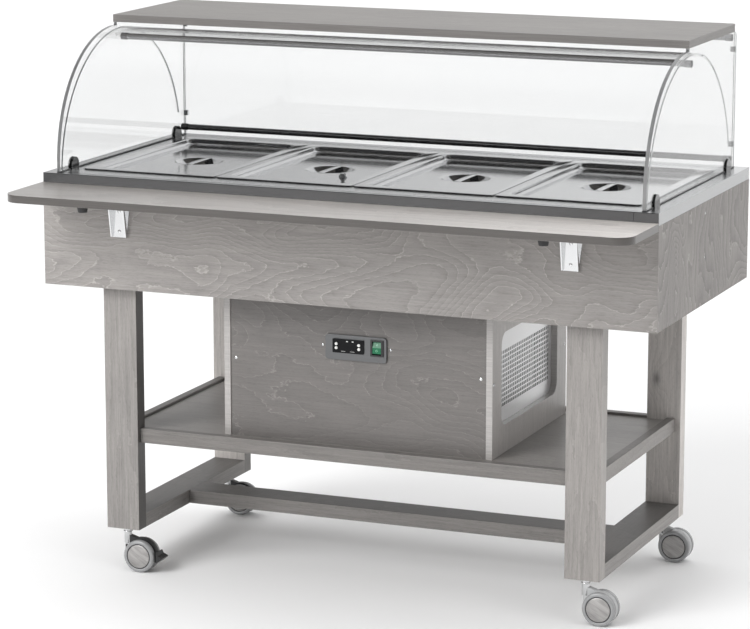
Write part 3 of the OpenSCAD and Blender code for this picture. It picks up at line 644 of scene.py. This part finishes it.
# lids
CUP_R, CUP_H = 0.050, 0.022
CUP_S = (CUP_R ** 2 + CUP_H ** 2) / (2 * CUP_H)
for i_ in range(4):
    cx_ = (i_ - 1.5) * PITCH
    cy_ = PAN_Y
    top_ = LID_Z + 0.0015
    pz_ = top_ - 0.012
    w_, d_ = 0.3250, 0.5300
    body_ = "lid_%d" % (i_ + 1)
    rings_ = [rr_ring(cx_, cy_, w_, d_, 0.012, top_ - 0.0012), rr_ring(cx_, cy_, w_ - 0.0002, d_ - 0.0002, 0.012, top_ - 0.0005),
              rr_ring(cx_, cy_, w_ - 0.0010, d_ - 0.0010, 0.0118, top_ - 0.0001), rr_ring(cx_, cy_, w_ - 0.0022, d_ - 0.0022, 0.0115, top_),
              rr_ring(cx_, cy_, w_ - 0.0400, d_ - 0.0420, 0.0290, top_)]
    for a_ in fillet(w_ - 0.0420, d_ - 0.0440, 0.0290, top_, 0.0030, "out"):
        rings_.append(rr_ring(cx_, cy_, *a_))
    for a_ in fillet(w_ - 0.0500, d_ - 0.0520, 0.0250, top_ - 0.0045, 0.0075, "in", 8):
        rings_.append(rr_ring(cx_, cy_, *a_))
    rings_.append(rr_ring(cx_, cy_, w_ - 0.0670, d_ - 0.0690, 0.0172, pz_))
    rings_.append(rr_ring(cx_, cy_, w_ - 0.0710, d_ - 0.0730, 0.0160, pz_))
    cup_ = [circle_ring(cx_, cy_, 0.0600, pz_), circle_ring(cx_, cy_, 0.0570, pz_), circle_ring(cx_, cy_, 0.0562, pz_ - 0.0001)]
    for k_ in range(1, 5):
        a_ = math.radians(47 * k_ / 4)
        cup_.append(circle_ring(cx_, cy_, 0.0562 - 0.0080 * math.sin(a_), pz_ - 0.0001 - 0.0080 * (1 - math.cos(a_))))
    r0_ = 0.0562 - 0.0080 * math.sin(math.radians(47))
    z0_ = pz_ - 0.0001 - 0.0080 * (1 - math.cos(math.radians(47)))
    zb_ = pz_ - CUP_H
    for k_ in range(1, 12):
        r_ = r0_ * (1 - k_ / 12)
        t_ = r_ / r0_
        cup_.append(circle_ring(cx_, cy_, r_, zb_ + (z0_ - zb_) * (1 - math.sqrt(1 - 0.84 * t_ * t_)) / (1 - math.sqrt(0.16))))
    o_ = sheet_mesh("lid_shell_%d" % (i_ + 1), rings_, M["lid_steel"], body_, 0.0010, (cx_, cy_, zb_), cup_)
    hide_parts("lid_%d" % (i_ + 1))
    bm_ = bmesh.new()
    n_ = 24
    rows_ = []
    for k_ in range(n_ + 1):
        y_ = cy_ - 0.0565 + 0.113 * k_ / n_
        t_ = abs(2 * k_ / n_ - 1)
        lift_ = 0.0004 * (1 - t_ ** 6) + 0.00012
        rows_.append([bm_.verts.new((cx_ + x_, y_, pz_ + lift_ + h_)) for x_, h_ in
                      ((-0.0080, -0.0012), (-0.0080, -0.0004), (-0.0072, 0.0001), (0.0, 0.0004), (0.0072, 0.0001), (0.0080, -0.0004), (0.0080, -0.0012))])
    for a_, b_ in zip(rows_, rows_[1:]):
        for j_ in range(6):
            bm_.faces.new([a_[j_], a_[j_ + 1], b_[j_ + 1], b_[j_]])
        bm_.faces.new([a_[6], a_[0], b_[0], b_[6]])
    bm_.faces.new(rows_[0][::-1])
    bm_.faces.new(rows_[-1])
    bmesh.ops.recalc_face_normals(bm_, faces=bm_.faces[:])
    st_ = add_mesh("lid_strap_%d" % (i_ + 1), bm_, M["lid_steel"], body_, False)

bm_ = bmesh.new()
prof_ = [(0.0065, 0.0), (0.0062, 0.0012), (0.0046, 0.0020), (0.0040, 0.0035)]
for k_ in range(17):
    a_ = math.radians(-62 + 152 * k_ / 16)
    prof_.append((max(0.0, 0.0098 * math.cos(a_)) if k_ < 16 else 0.0, 0.0118 + 0.0098 * math.sin(a_)))
lathe(bm_, prof_, Matrix.Translation((-0.067, PAN_Y - 0.154, LID_Z + 0.0015 - 0.012)), 40)
kn_ = add_mesh("lid_knob", bm_, M["chrome"], "lid_2", True)

# perforated vent sheets: 30 columns by 12 rows of slots
COLS, ROWS = 30, 12
cw_ = 0.341 / COLS
ys_ = [YF + 0.138, YF + 0.1625]
for k_ in range(COLS):
    ys_ += [YF + 0.1625 + k_ * cw_ + cw_ - 0.0048]
    if k_ < COLS - 1:
        ys_ += [YF + 0.1625 + (k_ + 1) * cw_]
ys_ += [YF + 0.529]
zs_ = [0.378, 0.424]
for k_ in range(ROWS):
    zs_ += [0.424 + k_ * 0.0107 + 0.0076]
    if k_ < ROWS - 1:
        zs_ += [0.424 + (k_ + 1) * 0.0107]
zs_ += [0.610]
for s_, nm_ in ((-1, "left"), (1, "right")):
    bm_ = bmesh.new()
    x_ = s_ * 0.305
    grid_ = [[bm_.verts.new((x_, y_, z_)) for z_ in zs_] for y_ in ys_]
    for a_ in range(len(ys_) - 1):
        for b_ in range(len(zs_) - 1):
            if a_ % 2 == 1 and b_ % 2 == 1:
                continue
            f_ = [grid_[a_][b_], grid_[a_ + 1][b_], grid_[a_ + 1][b_ + 1], grid_[a_][b_ + 1]]
            bm_.faces.new(f_ if s_ > 0 else f_[::-1])
    bm_.normal_update()
    o_ = add_mesh("vent_sheet_" + nm_, bm_, M["perforated"], "cabinet", False)
    solidify(o_, 0.0012)
    if s_ < 0:
        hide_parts("vent_grilles")

# caster wheels: tyre, dark ring and cover disc, and a narrow inner web
for c_, (sx_, sy_) in STEMS.items():
    bm_ = bmesh.new()
    for s_ in (-1, 1):
        place_ = Matrix.Translation((sx_ + TRAIL, sy_ + s_ * 0.0073, WHEEL_R)) @ Matrix.Rotation(math.radians(-90 * s_), 4, "X")
        p_ = [(0.0000, 0.0006), (0.0265, 0.0006), (0.0285, 0.0002), (0.0345, 0.0000), (0.0358, 0.0003), (0.0368, 0.0012), (0.0374, 0.0028), (0.0375, 0.0048),
              (0.0375, 0.0080), (0.0373, 0.0100), (0.0367, 0.0117), (0.0356, 0.0130), (0.0340, 0.0138), (0.0322, 0.0140),
              (0.0296, 0.0138), (0.0290, 0.0132), (0.0289, 0.0126), (0.0287, 0.0122), (0.0277, 0.0121), (0.0270, 0.0123),
              (0.0268, 0.0130), (0.0262, 0.0134), (0.0240, 0.0138), (0.0160, 0.0146), (0.0080, 0.0151), (0.0, 0.0152)]
        mi_ = [0] * 16 + [1] * 4 + [2] * 5
        lathe(bm_, p_, place_, 72, mi_)
    bm_.normal_update()
    o_ = add_mesh("wheel_pair_" + c_, bm_, [M["tread"], M["ring"], M["disc"]], "wheels_" + c_, True)
    es_ = o_.modifiers.new("split", "EDGE_SPLIT")
    es_.split_angle = math.radians(50)
    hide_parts("caster_%s_wheels" % c_)

# plated collars on the caster necks
for c_, (sx_, sy_) in STEMS.items():
    bm_ = bmesh.new()
    lathe(bm_, [(0.0086, 0.0), (0.0100, 0.0003), (0.0106, 0.0010), (0.0107, 0.0024), (0.0104, 0.0031), (0.0086, 0.0034)],
          Matrix.Translation((sx_, sy_, 0.0885)), 48)
    bm_.normal_update()
    add_mesh("neck_collar_" + c_, bm_, M["chrome"], "swivel_" + c_, True)

# screws: domed heads with a round socket
heads_ = []
for s_ in (-1, 1):
    heads_ += [((s_ * 0.292, YF + 0.097, 0.505), "-Y", 0.0040, 0.0018), ((s_ * 0.0805, YF + 0.097, 0.552), "-Y", 0.0032, 0.0018)]
    for y_ in (YF + 0.101, YF + 0.567):
        heads_.append(((s_ * 0.320, y_, 0.493), "+X" if s_ > 0 else "-X", 0.0040, 0.0018))
    for z_ in (0.763, 0.860):
        heads_.append(((s_ * 0.7160, YF + 0.3375, z_), "+X" if s_ > 0 else "-X", 0.0044, 0.0019))
    for z_ in (0.791, 0.836):
        heads_.append(((s_ * 0.528, YF - 0.003, z_), "-Y", 0.0040, 0.0018))
TURN = {"-Y": Matrix.Rotation(math.radians(90), 4, "X"), "+X": Matrix.Rotation(math.radians(90), 4, "Y"),
        "-X": Matrix.Rotation(math.radians(-90), 4, "Y")}
bm_ = bmesh.new()
for at_, way_, r_, h_ in heads_:
    pr_ = [(0.0, -0.0010), (r_, -0.0010), (r_, 0.0001)] + [(r_ * math.cos(a_), h_ * math.sin(a_)) for a_ in (0.25, 0.55, 0.85, 1.05)]
    pr_ += [(r_ * 0.42, h_ * 0.96), (r_ * 0.38, h_ * 0.45), (0.0, h_ * 0.40)]
    lathe(bm_, pr_, Matrix.Translation(at_) @ TURN[way_], 24)
bm_.normal_update()
o_ = add_mesh("screw_heads", bm_, M["chrome"], "cabinet", True)
es_ = o_.modifiers.new("split", "EDGE_SPLIT")
es_.split_angle = math.radians(45)
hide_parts("screws")

# gaskets under the side sheets
for s_, nm_ in ((-1, "left"), (1, "right")):
    bm_ = bmesh.new()
    n_ = 40
    rows_ = []
    for k_ in range(n_ + 1):
        y_ = YF + 0.010 + 0.645 * k_ / n_
        c0_ = s_ * 0.683
        rows_.append([bm_.verts.new((c0_ + x_, y_, z_)) for x_, z_ in
                      ((-0.0049, 0.9120), (-0.0049, 0.9138), (-0.0043, 0.9146), (-0.0041, 0.9139), (0.0041, 0.9139), (0.0043, 0.9146), (0.0049, 0.9138), (0.0049, 0.9120))])
    for a_, b_ in zip(rows_, rows_[1:]):
        for j_ in range(8):
            bm_.faces.new([a_[j_], a_[(j_ + 1) % 8], b_[(j_ + 1) % 8], b_[j_]])
    bm_.faces.new(rows_[0])
    bm_.faces.new(rows_[-1][::-1])
    bmesh.ops.recalc_face_normals(bm_, faces=bm_.faces[:])
    add_mesh("glass_gasket_" + nm_, bm_, M["gasket"], "cabinet", False)

# printed marks on the controller and the rocker
cy_ = YF + 0.089
bm_ = bmesh.new()
for x_, z_, w_, h_ in ((-0.0196, 0.5646, 0.0044, 0.0022), (-0.0064, 0.5646, 0.0044, 0.0022), (-0.029, 0.5422, 0.0105, 0.0007), (-0.007, 0.5422, 0.0105, 0.0007)):
    rounded_box(bm_, x_ - w_ / 2, x_ + w_ / 2, cy_ - 0.00012, cy_ + 0.0003, z_ - h_ / 2, z_ + h_ / 2, min(w_, h_) * 0.25, 2)
add_mesh("controller_marks", bm_, M["print"], "cabinet", False)
bm_ = bmesh.new()
rounded_box(bm_, -0.0400, 0.0030, cy_ - 0.00010, cy_ + 0.0004, 0.5456, 0.5612, 0.0009, 3)
add_mesh("controller_window", bm_, M["panel_black"], "cabinet", False)

def on_paddle(z, turn):
    """Places a mark on one of the two faces of the rocker's paddle."""
    pivot = Matrix.Translation((0.0505, YF + 0.096, 0.5545)) @ Matrix.Rotation(math.radians(-10), 4, "X")
    return pivot @ Matrix.Translation((0.0, -0.0070 + 0.0026 * abs(z) / 0.0132, z)) @ Matrix.Rotation(math.radians(turn), 4, "X")


bm_ = bmesh.new()
rounded_box(bm_, -0.0006, 0.0006, -0.00012, 0.0002, -0.0024, 0.0024, 0.0001, 2)
bmesh.ops.transform(bm_, matrix=on_paddle(0.0065, -11.1), verts=bm_.verts[:])
ring_ = bmesh.new()
lathe(ring_, [(0.0016, 0.0002), (0.0016, -0.0001), (0.0017, -0.00014), (0.0023, -0.00014), (0.0024, -0.0001), (0.0024, 0.0002)],
      on_paddle(-0.0065, 11.1) @ Matrix.Rotation(math.radians(-90), 4, "X"), 32)
bmesh.ops.recalc_face_normals(ring_, faces=ring_.faces[:])
tmp_ = bpy.data.meshes.new("ring")
ring_.to_mesh(tmp_)
ring_.free()
bm_.from_mesh(tmp_)
add_mesh("rocker_marks", bm_, M["green_mark"], "rocker", False)

# ------------------------------------------------------------------ floor, light and camera
fm = mat("floor")
fb = bsdf(fm)
fn = fm.node_tree.nodes
cp, cn = coords(fm)
fl_noise = noise(fm, vec(fm, cp[0], cp[1], cp[2]), 3.0, 2.0, 0.5)
put(fm, fb.inputs["Base Color"], mixc(fm, fl_noise, (0.92, 0.92, 0.92), (0.935, 0.935, 0.935)))
fb.inputs["Roughness"].default_value = 0.9
fb.inputs["Specular IOR Level"].default_value = 0.1
me = bpy.data.meshes.new("floor")
S = 60.0
me.from_pydata([(-S, -S, 0), (S, -S, 0), (S, S, 0), (-S, S, 0)], [], [(0, 1, 2, 3)])
floor = bpy.data.objects.new("floor", me)
me.materials.append(fm)
bpy.context.scene.collection.objects.link(floor)

w = bpy.data.worlds.new("studio")
bpy.context.scene.world = w
w.use_nodes = True
wt = w.node_tree


class _W:                       # lets the helpers above build the world's nodes too
    node_tree = wt


tc = wt.nodes.new("ShaderNodeTexCoord")
sp = wt.nodes.new("ShaderNodeSeparateXYZ")
wt.links.new(tc.outputs["Generated"], sp.inputs[0])
lean = add(_W, sp.outputs[1], mul(_W, sp.outputs[2], 0.25))
back = ramp(_W, lean, 0.02, 0.55, 0.0, 1.0)
left = ramp(_W, sp.outputs[0], -0.46, -0.26, 0.70, 1.16)
high = ramp(_W, sp.outputs[2], 0.35, 0.8, 0.0, 1.0)
tone = mixf(_W, high, left, 1.05)
wc = mixc(_W, back, (0.040, 0.040, 0.041), vec(_W, tone, tone, mul(_W, tone, 1.005)))
bgn = wt.nodes["Background"]
put(_W, bgn.inputs["Color"], wc)
bgn.inputs["Strength"].default_value = 0.92


def area(name, at, look, size, power, color=(1, 1, 1)):
    l = bpy.data.lights.new(name, "AREA")
    l.shape = "RECTANGLE"
    l.size, l.size_y = size
    l.energy = power
    l.color = color
    o = bpy.data.objects.new(name, l)
    bpy.context.scene.collection.objects.link(o)
    o.location = at
    o.rotation_euler = (Vector(look) - Vector(at)).to_track_quat("-Z", "Y").to_euler()
    return o


def sun(name, way, strength, angle):
    l = bpy.data.lights.new(name, "SUN")
    l.energy = strength
    l.angle = math.radians(angle)
    o = bpy.data.objects.new(name, l)
    bpy.context.scene.collection.objects.link(o)
    o.rotation_euler = Vector(way).to_track_quat("-Z", "Y").to_euler()
    return o


lamps = [sun("key", (0.42, 0.86, -0.47), 1.65, 40),
         sun("right", (-0.80, 0.30, -0.62), 0.55, 40),
         sun("top", (0.05, 0.12, -1.0), 1.25, 80),
         area("softbox", (-1.6, -3.2, 2.9), (0, 0, 0.8), (2.2, 1.4), 45)]
# flags keep the lamps off the polished steel and the clear sheets, which then mirror only the soft surroundings
flagged = bpy.data.collections.new("steel_and_glass")
for o_ in list(bpy.context.scene.objects):
    if o_.type == "MESH" and o_.name != "lid_knob" and (o_.name.startswith(("lid_", "pan_")) or o_.name in
                              ("steel_top", "support_bars", "back_glass", "front_cover", "left_side_glass", "right_side_glass")):
        flagged.objects.link(o_)
for c_ in flagged.collection_objects:
    c_.light_linking.link_state = "EXCLUDE"
for l_ in lamps:
    l_.light_linking.receiver_collection = flagged

cam = bpy.data.cameras.new("camera")
cam.lens = 153.45
cam.sensor_width = 36.0
cam.clip_end = 300.0
camo = bpy.data.objects.new("camera", cam)
bpy.context.scene.collection.objects.link(camo)
camo.location = (2.66178, -6.47695, 2.02194)
camo.rotation_euler = (math.radians(90 - 11.49), 0.0, math.radians(22.46))
bpy.context.scene.camera = camo
bpy.context.scene.view_settings.view_transform = "Standard"
bpy.context.scene.view_settings.look = "None"
